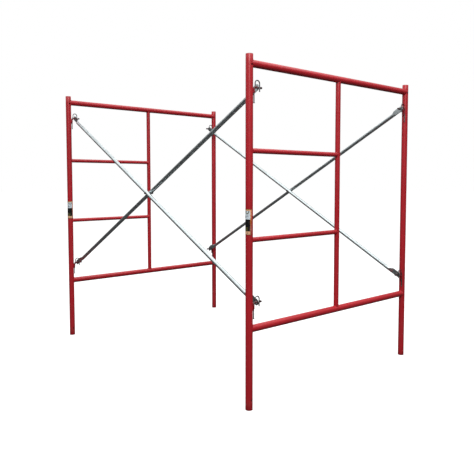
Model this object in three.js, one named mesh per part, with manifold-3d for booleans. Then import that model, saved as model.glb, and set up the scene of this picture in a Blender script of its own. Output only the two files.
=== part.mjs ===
// One bay of a welded steel frame scaffold: two walk-through end frames with a
// half-width ladder, held apart by two pairs of crossed tube braces.
// Millimetres, +Z up. X runs across the frames, Y runs along the bay, and the
// origin is on the floor in the middle of the bay.

import * as THREE from "three";
import { mergeVertices } from "three/addons/utils/BufferGeometryUtils.js";
import Module from "manifold-3d";

const wasm = await Module();
wasm.setup();

// Overall layout.
const frameWidth = 1524;
const bayLength = 2133.6;
const legHeight = 1948;
const topRailHeight = 1899;
const bottomRailHeight = 453;
const upperRungHeight = 1432;
const lowerRungHeight = 946;
const upperStudHeight = 1775;
const lowerStudHeight = 596;

// Tubes: outside diameters and walls.
const legDiameter = 41.3;
const postDiameter = 31.8;
const rungDiameter = 28.6;
const frameWall = 2.4;
const braceDiameter = 25.4;
const braceWall = 1.65;

// Holes near both ends of a leg for the pins that lock stacked frames together.
const legPinHoleDiameter = 11.1;
const legPinHoleInset = 57.5;

// Gap left wherever one piece meets or is cut to fit another.
const fitGap = 0.3;

// Brace stud: a round bar bent to a right angle, its upright leg on the tube.
const studDiameter = 12.7;
const studReach = 92;
const studBendRadius = 22;
const studTail = 22;
const studCentre = legDiameter / 2 + fitGap + studDiameter / 2;

// Gravity keeper: a wire cane that slides in a sleeve beside the stud.
const keeperWire = 6.5;
const keeperSide = -11.4;
const keeperLegX = 23.9;
const keeperRiseX = 32.5;
const keeperHoopRadius = 16.5;
const keeperHoopHeight = 19.5;
const keeperTailLevel = -24;
const keeperFootLevel = -88;
const keeperFootDiameter = 9.6;
const keeperFootThickness = 3;
const keeperBendStart = -7;
const keeperBendEnd = 13;
const sleeveDiameter = 10.4;
const sleeveBore = 7.5;
const sleeveTop = -8;
const sleeveBottom = -33;

// Crossed braces: flattened ends hang on the studs, tubes pass side by side.
const braceFlatX = 55;
const braceTubeOffset = 13;
const braceFlatHalfWidth = 18.5;
const braceFlatHalfThickness = 1.7;
const braceFlatLength = 44;
const braceTaperLength = 42;
const braceHoleDiameter = 14.3;
const centreBoltDiameter = 9.5;
const centreBoltHole = 10.2;
const boltHeadAcrossFlats = 14.3;
const boltHeadThickness = 6;
const nutThickness = 8;
const boltPastNut = 4;

// Safety label wrapped round the outer side of each left leg.
const labelHeight = 143;
const frontLabelBottom = 974;
const rearLabelBottom = 961;
const frontLabelTurn = 0;
const rearLabelTurn = THREE.MathUtils.degToRad(45);
const labelThickness = 0.3;
const labelGap = 0.1;
const labelHalfAngle = THREE.MathUtils.degToRad(84);

// Number of flats on each round piece.
const tubeSides = 16;
const braceSides = 12;
const studSides = 8;
const wireSides = 8;
const smallHoleSides = 12;
const vertexMergeDistance = 0.001;

function enamelRed() {
  return new THREE.MeshStandardMaterial({ color: 0xa3202c, roughness: 0.28, metalness: 0.1 });
}

function galvanisedSteel() {
  return new THREE.MeshStandardMaterial({ color: 0x8d9391, roughness: 0.38, metalness: 0.9 });
}

function zincPlate() {
  return new THREE.MeshStandardMaterial({ color: 0xb2b5b2, roughness: 0.3, metalness: 0.95 });
}

function labelVinyl() {
  return new THREE.MeshStandardMaterial({ color: 0xe2a46a, roughness: 0.5, metalness: 0 });
}

function solidOf(geometry) {
  const bare = geometry.clone();
  bare.deleteAttribute("normal");
  bare.deleteAttribute("uv");
  const merged = mergeVertices(bare, vertexMergeDistance);
  return new wasm.Manifold(new wasm.Mesh({
    numProp: 3,
    vertProperties: new Float32Array(merged.attributes.position.array),
    triVerts: new Uint32Array(merged.index.array),
  }));
}

function geometryOf(solid) {
  const mesh = solid.getMesh();
  const geometry = new THREE.BufferGeometry();
  geometry.setAttribute("position", new THREE.BufferAttribute(mesh.vertProperties, 3));
  geometry.setIndex(new THREE.BufferAttribute(mesh.triVerts, 1));
  geometry.computeVertexNormals();
  return geometry;
}

// A round bar of the given length, centred on the origin, along "x", "y" or "z".
function bar(axis, diameter, length, sides) {
  const geometry = new THREE.CylinderGeometry(diameter / 2, diameter / 2, length, sides);
  if (axis === "x") {
    geometry.rotateZ(Math.PI / 2);
  }
  if (axis === "z") {
    geometry.rotateX(Math.PI / 2);
  }
  return solidOf(geometry);
}

function tube(axis, diameter, wall, length, sides) {
  const bore = bar(axis, diameter - 2 * wall, length * 1.1, sides);
  return bar(axis, diameter, length, sides).subtract(bore);
}

// The space that a neighbouring tube takes up, with the fitting gap round it.
function coping(axis, diameter) {
  return bar(axis, diameter + 2 * fitGap, 4 * diameter, tubeSides);
}

function named(name, shape, material) {
  const geometry = shape.isBufferGeometry ? shape : geometryOf(shape);
  const mesh = new THREE.Mesh(geometry, material);
  mesh.name = name;
  return mesh;
}

function leg() {
  const pinHole = bar("y", legPinHoleDiameter, 2 * legDiameter, smallHoleSides);
  const holeOffset = legHeight / 2 - legPinHoleInset;
  return tube("z", legDiameter, frameWall, legHeight, tubeSides)
    .subtract(pinHole.translate([0, 0, holeOffset]))
    .subtract(pinHole.translate([0, 0, -holeOffset]));
}

// A full-width rail, coped at both ends to sit against the legs.
function rail() {
  const legSpace = coping("z", legDiameter);
  return tube("x", legDiameter, frameWall, frameWidth, tubeSides)
    .subtract(legSpace.translate([-frameWidth / 2, 0, 0]))
    .subtract(legSpace.translate([frameWidth / 2, 0, 0]));
}

// The post between the rails, halfway across the frame.
function centrePost() {
  const length = topRailHeight - bottomRailHeight;
  const railSpace = coping("x", legDiameter);
  return tube("z", postDiameter, frameWall, length, tubeSides)
    .subtract(railSpace.translate([0, 0, length / 2]))
    .subtract(railSpace.translate([0, 0, -length / 2]));
}

// A ladder rung between the left leg and the centre post.
function rung() {
  const length = frameWidth / 2;
  return tube("x", rungDiameter, frameWall, length, tubeSides)
    .subtract(coping("z", legDiameter).translate([-length / 2, 0, 0]))
    .subtract(coping("z", postDiameter).translate([length / 2, 0, 0]));
}

// A round rod swept along a path, with closed ends. Arcs in a section get two
// points for each curve segment.
function rodAlong(path, diameter, sides, steps) {
  const section = new THREE.Shape();
  section.absarc(0, 0, diameter / 2, 0, 2 * Math.PI, false);
  return new THREE.ExtrudeGeometry(section, {
    steps,
    curveSegments: sides / 2,
    bevelEnabled: false,
    extrudePath: path,
  });
}

// Control-point reach that makes a cubic curve follow a quarter circle.
const quarterArcReach = 0.5523;

function quarterArc(start, corner, end) {
  return new THREE.CubicBezierCurve3(
    start,
    start.clone().lerp(corner, quarterArcReach),
    end.clone().lerp(corner, quarterArcReach),
    end,
  );
}

// Points of a lock: x away from the leg's axis, z above the stud's axis.
function lockPoint(x, z, side = 0) {
  return new THREE.Vector3(x, side, z);
}

function studBar() {
  const bendStart = lockPoint(studCentre, -studBendRadius);
  const bendEnd = lockPoint(studCentre + studBendRadius, 0);
  const path = new THREE.CurvePath();
  path.add(new THREE.LineCurve3(lockPoint(studCentre, -studBendRadius - studTail), bendStart));
  path.add(quarterArc(bendStart, lockPoint(studCentre, 0), bendEnd));
  path.add(new THREE.LineCurve3(bendEnd, lockPoint(studReach, 0)));
  return rodAlong(path, studDiameter, studSides, 10);
}

function keeperCane() {
  const tailX = keeperRiseX + 2 * keeperHoopRadius;
  const crownX = keeperRiseX + keeperHoopRadius;
  const crownZ = keeperHoopHeight + keeperHoopRadius;
  const bendMiddle = (keeperBendStart + keeperBendEnd) / 2;
  const bendStart = lockPoint(keeperLegX, keeperBendStart, keeperSide);
  const bendEnd = lockPoint(keeperRiseX, keeperBendEnd, keeperSide);
  const hoopStart = lockPoint(keeperRiseX, keeperHoopHeight, keeperSide);
  const crown = lockPoint(crownX, crownZ, keeperSide);
  const hoopEnd = lockPoint(tailX, keeperHoopHeight, keeperSide);
  const path = new THREE.CurvePath();
  path.add(new THREE.LineCurve3(lockPoint(keeperLegX, keeperFootLevel, keeperSide), bendStart));
  path.add(new THREE.CubicBezierCurve3(
    bendStart,
    lockPoint(keeperLegX, bendMiddle, keeperSide),
    lockPoint(keeperRiseX, bendMiddle, keeperSide),
    bendEnd,
  ));
  path.add(new THREE.LineCurve3(bendEnd, hoopStart));
  path.add(quarterArc(hoopStart, lockPoint(keeperRiseX, crownZ, keeperSide), crown));
  path.add(quarterArc(crown, lockPoint(tailX, crownZ, keeperSide), hoopEnd));
  path.add(new THREE.LineCurve3(hoopEnd, lockPoint(tailX, keeperTailLevel, keeperSide)));
  const foot = bar("z", keeperFootDiameter, keeperFootThickness, wireSides)
    .translate([keeperLegX, keeperSide, keeperFootLevel + keeperFootThickness / 2]);
  return solidOf(rodAlong(path, keeperWire, wireSides, 26)).add(foot);
}

function guideSleeve() {
  const length = sleeveTop - sleeveBottom;
  const wall = (sleeveDiameter - sleeveBore) / 2;
  return tube("z", sleeveDiameter, wall, length, smallHoleSides)
    .translate([keeperLegX, keeperSide, (sleeveTop + sleeveBottom) / 2]);
}

// A closed body through a row of rings with the same number of points.
function loft(rings) {
  const count = rings[0].length;
  const points = rings.flat();
  const faces = [];
  for (let ring = 0; ring + 1 < rings.length; ring += 1) {
    for (let point = 0; point < count; point += 1) {
      const next = (point + 1) % count;
      const here = ring * count;
      const there = here + count;
      faces.push(here + point, here + next, there + next);
      faces.push(here + point, there + next, there + point);
    }
  }
  const last = (rings.length - 1) * count;
  for (let point = 1; point + 1 < count; point += 1) {
    faces.push(0, point + 1, point);
    faces.push(last, last + point, last + point + 1);
  }
  const geometry = new THREE.BufferGeometry().setFromPoints(points);
  geometry.setIndex(faces);
  return geometry;
}

// One ring of a brace: along its length, halfWidth across, halfThickness through.
function braceRing(along, halfWidth, halfThickness, offset, squareness) {
  const ring = [];
  for (let side = 0; side < braceSides; side += 1) {
    const angle = (2 * Math.PI * (side + 0.5)) / braceSides;
    const across = Math.sign(Math.cos(angle)) * Math.abs(Math.cos(angle)) ** squareness;
    const through = Math.sign(Math.sin(angle)) * Math.abs(Math.sin(angle)) ** squareness;
    ring.push(new THREE.Vector3(halfThickness * through + offset, along, halfWidth * across));
  }
  return ring;
}

const braceHoleSpacing = Math.hypot(bayLength, upperStudHeight - lowerStudHeight);
const braceSlope = Math.atan2(upperStudHeight - lowerStudHeight, bayLength);

// Rings of one end of a brace, from its tip inwards, for a body "inset" inside
// the outer surface. A positive inset leaves out the flat, which is pressed shut.
function braceEndRings(inset, tubeOffset) {
  const rings = [];
  const holeAt = -braceHoleSpacing / 2;
  if (inset === 0) {
    for (const degrees of [75, 50, 25]) {
      const angle = THREE.MathUtils.degToRad(degrees);
      const halfWidth = braceFlatHalfWidth * Math.cos(angle);
      const along = holeAt - braceFlatHalfWidth * Math.sin(angle);
      rings.push(braceRing(along, halfWidth, braceFlatHalfThickness, 0, 0.5));
    }
    rings.push(braceRing(holeAt, braceFlatHalfWidth, braceFlatHalfThickness, 0, 0.5));
    rings.push(braceRing(holeAt + braceFlatLength, braceFlatHalfWidth, braceFlatHalfThickness, 0, 0.5));
  }
  for (const part of [0.35, 0.7, 1]) {
    const ease = part * part * (3 - 2 * part);
    const halfWidth = THREE.MathUtils.lerp(braceFlatHalfWidth, braceDiameter / 2, ease) - inset;
    const halfThickness = THREE.MathUtils.lerp(braceFlatHalfThickness, braceDiameter / 2, ease) - inset;
    const along = holeAt + braceFlatLength + part * braceTaperLength;
    const squareness = THREE.MathUtils.lerp(0.5, 1, part);
    rings.push(braceRing(along, halfWidth, halfThickness, tubeOffset * ease, squareness));
  }
  return rings;
}

function mirroredRings(rings) {
  return rings.map((ring) => ring.map((point) => new THREE.Vector3(point.x, -point.y, point.z))).reverse();
}

function braceBody(inset, tubeOffset) {
  const near = braceEndRings(inset, tubeOffset);
  return solidOf(loft([...near, ...mirroredRings(near)]));
}

// A brace along Y with both flats on x = 0 and its tube at x = tubeOffset.
function brace(tubeOffset) {
  const hookHole = bar("x", braceHoleDiameter, 4 * braceDiameter, smallHoleSides);
  const boltHole = bar("x", centreBoltHole, 4 * braceDiameter, smallHoleSides);
  return braceBody(0, tubeOffset)
    .subtract(braceBody(braceWall, tubeOffset))
    .subtract(hookHole.translate([0, -braceHoleSpacing / 2, 0]))
    .subtract(hookHole.translate([0, braceHoleSpacing / 2, 0]))
    .subtract(boltHole);
}

const hexPointsOverFlats = 2 / Math.sqrt(3);
const braceOuterFace = braceTubeOffset + braceDiameter / 2 + fitGap;

function centreBolt() {
  const shankEnd = braceOuterFace + fitGap + nutThickness + boltPastNut;
  const length = braceOuterFace + shankEnd;
  const head = bar("x", boltHeadAcrossFlats * hexPointsOverFlats, boltHeadThickness, 6)
    .translate([-braceOuterFace - boltHeadThickness / 2, 0, 0]);
  return bar("x", centreBoltDiameter, length, smallHoleSides)
    .translate([(shankEnd - braceOuterFace) / 2, 0, 0])
    .add(head);
}

function centreNut() {
  const bore = bar("x", centreBoltDiameter + 3 * fitGap, 4 * nutThickness, smallHoleSides);
  return bar("x", boltHeadAcrossFlats * hexPointsOverFlats, nutThickness, 6)
    .subtract(bore)
    .translate([braceOuterFace + fitGap + nutThickness / 2, 0, 0]);
}

// A curved vinyl patch round the outer side of a leg. turn shifts it towards the front.
function label(turn) {
  const inner = legDiameter / 2 + labelGap;
  const outer = inner + labelThickness;
  const start = Math.PI - labelHalfAngle + turn;
  const end = Math.PI + labelHalfAngle + turn;
  const outline = new THREE.Shape();
  outline.absarc(0, 0, outer, start, end, false);
  outline.absarc(0, 0, inner, end, start, true);
  return new THREE.ExtrudeGeometry(outline, {
    depth: labelHeight,
    steps: 1,
    curveSegments: tubeSides / 2,
    bevelEnabled: false,
  });
}

// The bar, sleeve and keeper that hold one brace end on one leg.
function braceLock(prefix, inward) {
  const parts = [
    named(`${prefix}_stud`, studBar(), enamelRed()),
    named(`${prefix}_keeper_sleeve`, guideSleeve(), enamelRed()),
    named(`${prefix}_keeper`, keeperCane(), zincPlate()),
  ];
  const mirrored = inward < 0;
  for (const part of parts) {
    if (mirrored) {
      mirrorAcross(part.geometry);
    }
  }
  const lock = new THREE.Group();
  lock.add(...parts);
  return lock;
}

// Mirrors a geometry left to right and turns its faces outward again.
function mirrorAcross(geometry) {
  geometry.scale(-1, 1, 1);
  if (!geometry.index) {
    geometry.setIndex([...Array(geometry.attributes.position.count).keys()]);
  }
  const order = geometry.index.array;
  for (let corner = 0; corner < order.length; corner += 3) {
    const swapped = order[corner];
    order[corner] = order[corner + 1];
    order[corner + 1] = swapped;
  }
  geometry.computeVertexNormals();
}

function placed(object, x, y, z) {
  object.position.set(x, y, z);
  return object;
}

function endFrame(end, y, labelBottom, labelTurn) {
  const frame = new THREE.Group();
  for (const [side, inward] of [["left", 1], ["right", -1]]) {
    const x = (-inward * frameWidth) / 2;
    frame.add(placed(named(`${end}_${side}_leg`, leg(), enamelRed()), x, 0, legHeight / 2));
    for (const [level, height] of [["upper", upperStudHeight], ["lower", lowerStudHeight]]) {
      frame.add(placed(braceLock(`${end}_${side}_${level}`, inward), x, 0, height));
    }
  }
  frame.add(placed(named(`${end}_top_rail`, rail(), enamelRed()), 0, 0, topRailHeight));
  frame.add(placed(named(`${end}_bottom_rail`, rail(), enamelRed()), 0, 0, bottomRailHeight));
  const postMiddle = (topRailHeight + bottomRailHeight) / 2;
  frame.add(placed(named(`${end}_centre_post`, centrePost(), enamelRed()), 0, 0, postMiddle));
  frame.add(placed(named(`${end}_upper_rung`, rung(), enamelRed()), -frameWidth / 4, 0, upperRungHeight));
  frame.add(placed(named(`${end}_lower_rung`, rung(), enamelRed()), -frameWidth / 4, 0, lowerRungHeight));
  const patch = named(`${end}_label`, label(labelTurn), labelVinyl());
  frame.add(placed(patch, -frameWidth / 2, 0, labelBottom));
  return placed(frame, 0, y, 0);
}

// One crossed pair. The brace that rises towards the rear passes on the -X side.
function bracePair(side, flatX) {
  const pair = new THREE.Group();
  const rising = named(`${side}_rising_brace`, brace(-braceTubeOffset), galvanisedSteel());
  const falling = named(`${side}_falling_brace`, brace(braceTubeOffset), galvanisedSteel());
  rising.rotation.x = braceSlope;
  falling.rotation.x = -braceSlope;
  pair.add(rising, falling);
  pair.add(named(`${side}_brace_bolt`, centreBolt(), zincPlate()));
  pair.add(named(`${side}_brace_nut`, centreNut(), zincPlate()));
  return placed(pair, flatX, 0, (upperStudHeight + lowerStudHeight) / 2);
}

const scaffold = new THREE.Group();
scaffold.add(endFrame("front", -bayLength / 2, frontLabelBottom, frontLabelTurn));
scaffold.add(endFrame("rear", bayLength / 2, rearLabelBottom, rearLabelTurn));
scaffold.add(bracePair("left", -frameWidth / 2 + braceFlatX));
scaffold.add(bracePair("right", frameWidth / 2 - braceFlatX));

export default scaffold;
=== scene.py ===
"""The looks of one bay of welded frame scaffold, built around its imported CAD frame.

Metres, +Z up. X runs across the two end frames, Y along the bay. Every place is taken from a
CAD node's box, and the constants below give the details that a box can't hold.
"""

import math
import random

import bmesh
import bpy
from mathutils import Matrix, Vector


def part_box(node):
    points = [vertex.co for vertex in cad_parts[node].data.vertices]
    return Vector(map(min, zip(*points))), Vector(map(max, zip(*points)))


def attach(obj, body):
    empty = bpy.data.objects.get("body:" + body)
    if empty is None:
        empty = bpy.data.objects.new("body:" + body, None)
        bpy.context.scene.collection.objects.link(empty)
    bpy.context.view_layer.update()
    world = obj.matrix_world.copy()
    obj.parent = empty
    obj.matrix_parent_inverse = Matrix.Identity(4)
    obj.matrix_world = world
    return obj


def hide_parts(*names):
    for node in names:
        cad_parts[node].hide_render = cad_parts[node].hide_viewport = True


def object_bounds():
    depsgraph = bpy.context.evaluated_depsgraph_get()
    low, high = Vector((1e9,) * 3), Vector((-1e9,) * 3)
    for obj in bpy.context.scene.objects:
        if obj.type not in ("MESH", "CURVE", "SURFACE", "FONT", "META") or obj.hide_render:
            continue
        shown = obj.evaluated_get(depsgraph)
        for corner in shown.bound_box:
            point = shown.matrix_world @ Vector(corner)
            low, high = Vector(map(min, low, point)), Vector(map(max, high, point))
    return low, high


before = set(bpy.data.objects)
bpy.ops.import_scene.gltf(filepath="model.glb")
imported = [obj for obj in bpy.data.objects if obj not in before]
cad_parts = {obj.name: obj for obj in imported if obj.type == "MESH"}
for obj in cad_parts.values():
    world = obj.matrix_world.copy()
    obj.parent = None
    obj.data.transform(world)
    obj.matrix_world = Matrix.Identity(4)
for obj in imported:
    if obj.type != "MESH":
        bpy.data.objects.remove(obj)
cad_low, cad_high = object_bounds()

MM = 0.001
X_AXIS = Vector((1, 0, 0))
Y_AXIS = Vector((0, 1, 0))
Z_AXIS = Vector((0, 0, 1))

# Tubes of the frames.
FIT_GAP = 0.3 * MM
FRAME_WALL = 2.4 * MM
EDGE_CHAMFER = 1.0 * MM
BORE_CHAMFER = 0.5 * MM
PIN_HOLE_RADIUS = 5.55 * MM
PIN_HOLE_INSET = 57.5 * MM
PIN_HOLE_WINDOW = 9 * MM
COPE_LENGTH = 4 * MM

# Stud bars.
STUD_RADIUS = 6.35 * MM
STUD_BEND = 22 * MM
STUD_TAIL = 22 * MM
STUD_TIP_CHAMFER = 1.6 * MM
STUD_WELD_ANGLE = math.radians(9.5)
WEAR_START = 726 * MM
WEAR_END = 706 * MM

# Keepers and their sleeves. x runs from the leg's axis into the bay, z from the stud's axis.
WIRE_RADIUS = 3.25 * MM
KEEPER_SIDE = -11.4 * MM
KEEPER_LEG_X = 23.9 * MM
KEEPER_RISE_X = 32.5 * MM
HOOP_RADIUS = 16.5 * MM
HOOP_HEIGHT = 19.5 * MM
TAIL_LEVEL = -24 * MM
FOOT_LEVEL = -88 * MM
FOOT_RADIUS = 4.8 * MM
FOOT_THICKNESS = 3 * MM
FOOT_ROUNDING = 0.7 * MM
S_BEND_START = -7 * MM
S_BEND_END = 13 * MM
SLEEVE_RADIUS = 5.2 * MM
SLEEVE_BORE = 3.75 * MM
SLEEVE_TOP = -8 * MM
SLEEVE_BOTTOM = -33 * MM
SLEEVE_CHAMFER = 0.4 * MM
SLEEVE_WELD_ANGLE = math.radians(8)

# Braces.
BRACE_RADIUS = 12.7 * MM
FLAT_HALF_WIDTH = 18.5 * MM
FLAT_HALF_THICKNESS = 1.7 * MM
FLAT_LENGTH = 44 * MM
TAPER_LENGTH = 42 * MM
FLAT_SQUARENESS = 0.3
HOOK_HOLE_RADIUS = 7.15 * MM
HOOK_HOLE_ROUNDING = 0.5 * MM
BOLT_HOLE_RADIUS = 5.1 * MM

# Bolts and nuts of the crossings.
BOLT_RADIUS = 4.75 * MM
HEX_FLAT_RADIUS = 7.15 * MM
HEAD_THICKNESS = 6 * MM
THREAD_PITCH = 1.4 * MM
THREAD_DEPTH = 0.65 * MM
THREAD_LENGTH = 16 * MM

# Welds.
BEAD_RADIUS = 3.1 * MM
SMALL_BEAD_RADIUS = 2.1 * MM
RIPPLE_PITCH = 2.6 * MM
RIPPLE_STEPS = 5
BEAD_SIDES = 10
BEAD_VALLEY = 0.86
BEAD_SCALLOP = 0.17
BEAD_LEAN = 0.3
BEAD_RISE = 0.9
BEAD_END_SWELL = 0.45
BEAD_END_GROWTH = 0.4
PROUD_AT_TANGENT = 0.2 * MM

# Labels.
LABEL_HALF_ANGLE = math.radians(84)
REAR_LABEL_TURN = math.radians(45)
LABEL_GAP = 0.1 * MM
LABEL_THICKNESS = 0.3 * MM
LABEL_CORNER = 5 * MM

# Studio. The sky's stops are (height from straight down at 0 to straight up at 1, brightness).
SKY_STOPS = [(0.0, 0.015), (0.47, 0.035), (0.53, 0.11), (0.75, 0.33), (1.0, 0.62)]
FLOOR_HALF_SIZE = 60
FLOOR_DROP = 0.2 * MM

# Mesh fineness.
TUBE_SIDES = 72
BRACE_SIDES = 64
ROD_SIDES = 32
HEX_SIDES = 72
HOLE_SIDES = 40
SHARP_ANGLE = math.radians(32)

scene = bpy.context.scene
dice = random.Random(7)


# Mesh building.

class Shell:
    """Faces gathered ring by ring, with a map of metres along and around the rings."""

    def __init__(self):
        self.verts = []
        self.faces = []
        self.maps = []

    def skin(self, rings, loop=False):
        """Joins rings that have equally many points. loop also joins the last ring to the first."""
        count = len(rings[0])
        first = len(self.verts)
        for ring in rings:
            self.verts.extend(ring)
        girth = max(ring_length(ring) for ring in rings)
        along = [0.0]
        for before, after in zip(rings, rings[1:] + rings[:1]):
            along.append(along[-1] + (centre_of(after) - centre_of(before)).length)
        last = len(rings) if loop else len(rings) - 1
        for row in range(last):
            here = first + row * count
            there = first + ((row + 1) % len(rings)) * count
            for side in range(count):
                beyond = (side + 1) % count
                self.faces.append((here + side, here + beyond, there + beyond, there + side))
                near = side * girth / count
                far = (side + 1) * girth / count
                now, later = along[row], along[row + 1]
                self.maps.append(((now, near), (now, far), (later, far), (later, near)))
        return first, first + (len(rings) - 1) * count, count

    def cap(self, start, count):
        """Closes one ring with a single flat face."""
        self.faces.append(tuple(range(start, start + count)))
        self.maps.append(tuple((0.0, 0.0) for _ in range(count)))

    def solid(self, rings):
        """A skin closed at both ends."""
        start, end, count = self.skin(rings)
        self.cap(start, count)
        self.cap(end, count)


def centre_of(points):
    return sum(points, Vector()) / len(points)


def ring_length(ring):
    return sum((b - a).length for a, b in zip(ring, ring[1:] + ring[:1]))


def make_object(name, shell):
    mesh = bpy.data.meshes.new(name)
    mesh.from_pydata(shell.verts, [], shell.faces)
    layer = mesh.uv_layers.new(name="span")
    layer.data.foreach_set("uv", [number for face in shell.maps for point in face for number in point])
    shape = bmesh.new()
    shape.from_mesh(mesh)
    bmesh.ops.recalc_face_normals(shape, faces=shape.faces)
    shape.to_mesh(mesh)
    shape.free()
    obj = bpy.data.objects.new(name, mesh)
    scene.collection.objects.link(obj)
    return obj


def smooth(mesh):
    mesh.polygons.foreach_set("use_smooth", [True] * len(mesh.polygons))
    mesh.set_sharp_from_angle(angle=SHARP_ANGLE)


def cut(obj, cutters):
    """Takes the cutter shells out of obj and drops them."""
    tools = []
    for number, shell in enumerate(cutters):
        tool = make_object(f"cutter_{number}", shell)
        modifier = obj.modifiers.new(f"cut_{number}", "BOOLEAN")
        modifier.operation = "DIFFERENCE"
        modifier.solver = "EXACT"
        modifier.object = tool
        tools.append(tool)
    bpy.context.view_layer.update()
    evaluated = obj.evaluated_get(bpy.context.evaluated_depsgraph_get())
    carved = bpy.data.meshes.new_from_object(evaluated)
    obj.modifiers.clear()
    obj.data = carved
    for tool in tools:
        bpy.data.meshes.remove(tool.data)


def piece(name, shell, material, nodes=(), body="section", cutters=()):
    """Turns a shell into a finished piece of the model."""
    obj = make_object(name, shell)
    if cutters:
        cut(obj, cutters)
    obj.data.materials.clear()
    obj.data.materials.append(material)
    smooth(obj.data)
    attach(obj, body)
    if nodes:
        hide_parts(*nodes)


def ring_round(centre, first, second, radius, sides):
    """Points of a circle in the plane of two unit vectors."""
    points = []
    for side in range(sides):
        angle = 2 * math.pi * side / sides
        points.append(centre + radius * (math.cos(angle) * first + math.sin(angle) * second))
    return points


def round_bar(start, end, profile, sides):
    """A turned solid. profile is (share of the length, radius) from start to end."""
    shell = Shell()
    direction = (end - start).normalized()
    first = direction.orthogonal().normalized()
    second = direction.cross(first)
    rings = [ring_round(start.lerp(end, share), first, second, radius, sides) for share, radius in profile]
    shell.solid(rings)
    return shell


def punch(centre, reach, radius):
    """A cutter for a round hole. reach is the vector from its centre to one end."""
    return round_bar(centre - reach, centre + reach, [(0, radius), (1, radius)], HOLE_SIDES)


def spread(start, end, steps):
    """Evenly spaced numbers, both ends included."""
    return [start + (end - start) * step / steps for step in range(steps + 1)]


def smoothstep(share):
    return share * share * (3 - 2 * share)


# Tubes of the end frames.

def middle(node):
    low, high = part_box(node)
    return (low + high) / 2


def tube_radius(node, axis):
    """Half of a node's size along an axis, 0 for X, 1 for Y and 2 for Z."""
    low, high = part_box(node)
    return (high[axis] - low[axis]) / 2


def leg_shell(base, height, radius):
    """An open tube with broken edges and closer rings where its pin holes go."""
    bore = radius - FRAME_WALL
    window = spread(-PIN_HOLE_WINDOW, PIN_HOLE_WINDOW, 12)
    outside = [
        (0, radius - EDGE_CHAMFER),
        (0.4 * EDGE_CHAMFER, radius - 0.35 * EDGE_CHAMFER),
        (EDGE_CHAMFER, radius),
    ]
    for level in (PIN_HOLE_INSET, height - PIN_HOLE_INSET):
        outside.extend((level + shift, radius) for shift in window)
    outside.extend([
        (height - EDGE_CHAMFER, radius),
        (height - 0.4 * EDGE_CHAMFER, radius - 0.35 * EDGE_CHAMFER),
        (height, radius - EDGE_CHAMFER),
    ])
    inside = [(height, bore + BORE_CHAMFER), (height - BORE_CHAMFER, bore)]
    for level in (height - PIN_HOLE_INSET, PIN_HOLE_INSET):
        inside.extend((level - shift, bore) for shift in window)
    inside.extend([(BORE_CHAMFER, bore), (0, bore + BORE_CHAMFER)])
    shell = Shell()
    profile = outside + inside
    rings = [
        ring_round(base + level * Z_AXIS, X_AXIS, Y_AXIS, size, TUBE_SIDES)
        for level, size in profile
    ]
    shell.skin(rings, loop=True)
    return shell


def add_leg(node):
    low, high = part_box(node)
    radius = tube_radius(node, 0)
    axis = middle(node)
    base = Vector((axis.x, axis.y, low.z))
    height = high.z - low.z
    holes = [
        punch(base + level * Z_AXIS, 2 * radius * Y_AXIS, PIN_HOLE_RADIUS)
        for level in (PIN_HOLE_INSET, height - PIN_HOLE_INSET)
    ]
    shell = leg_shell(base, height, radius)
    piece(f"{node}_tube", shell, red_enamel, [node], cutters=holes)


def saddle(tube_size, neighbour, angle):
    """How far from the neighbour's axis a coped tube ends, at an angle round the tube."""
    return math.sqrt(neighbour ** 2 - (tube_size * math.sin(angle)) ** 2)


def coped_shell(start, end, radius, start_neighbour, end_neighbour):
    """A tube between two crossing tubes, its ends cut to sit against them. start and end are on
    their axes."""
    direction = (end - start).normalized()
    upward = direction.cross(Y_AXIS)
    length = (end - start).length

    def ring(size, near, neighbour):
        points = []
        for side in range(TUBE_SIDES):
            angle = 2 * math.pi * side / TUBE_SIDES
            stand_off = saddle(size, neighbour + FIT_GAP, angle)
            along = stand_off if near else length - stand_off
            outward = math.cos(angle) * upward + math.sin(angle) * Y_AXIS
            points.append(start + along * direction + size * outward)
        return points

    def straight_ring(size, along):
        return ring_round(start + along * direction, upward, Y_AXIS, size, TUBE_SIDES)

    bore = radius - FRAME_WALL
    near_end = start_neighbour + COPE_LENGTH
    far_end = length - end_neighbour - COPE_LENGTH
    shell = Shell()
    shell.skin([
        ring(radius, True, start_neighbour),
        straight_ring(radius, near_end),
        straight_ring(radius, far_end),
        ring(radius, False, end_neighbour),
        ring(bore, False, end_neighbour),
        straight_ring(bore, far_end),
        straight_ring(bore, near_end),
        ring(bore, True, start_neighbour),
    ], loop=True)
    return shell


# Weld beads.

def bead_rings(centres, outward, radius, closed):
    """Rings of a rippled weld bead along a line of points. outward points away from the joint."""
    rings = []
    count = len(centres)
    for number, centre in enumerate(centres):
        if closed:
            before = centres[number - 1]
            after = centres[(number + 1) % count]
        else:
            before = centres[max(number - 1, 0)]
            after = centres[min(number + 1, count - 1)]
        tangent = (after - before).normalized()
        across = tangent.cross(outward[number]).normalized()
        phase = number / RIPPLE_STEPS
        scallop = abs(math.sin(math.pi * phase))
        wobble = bead_wobble[int(phase) % len(bead_wobble)]
        swell = radius * (BEAD_VALLEY + BEAD_SCALLOP * scallop) * wobble
        if not closed:
            from_end = min(number, count - 1 - number)
            swell *= min(1.0, BEAD_END_SWELL + BEAD_END_GROWTH * from_end / RIPPLE_STEPS)
        ring = []
        for side in range(BEAD_SIDES):
            angle = 2 * math.pi * side / BEAD_SIDES
            lean = BEAD_LEAN * swell * math.cos(angle) * tangent
            rise = BEAD_RISE * swell * math.cos(angle) * outward[number]
            ring.append(centre + rise + swell * math.sin(angle) * across + lean)
        rings.append(ring)
    return rings


bead_wobble = [1 + dice.uniform(-0.07, 0.07) for _ in range(97)]


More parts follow.
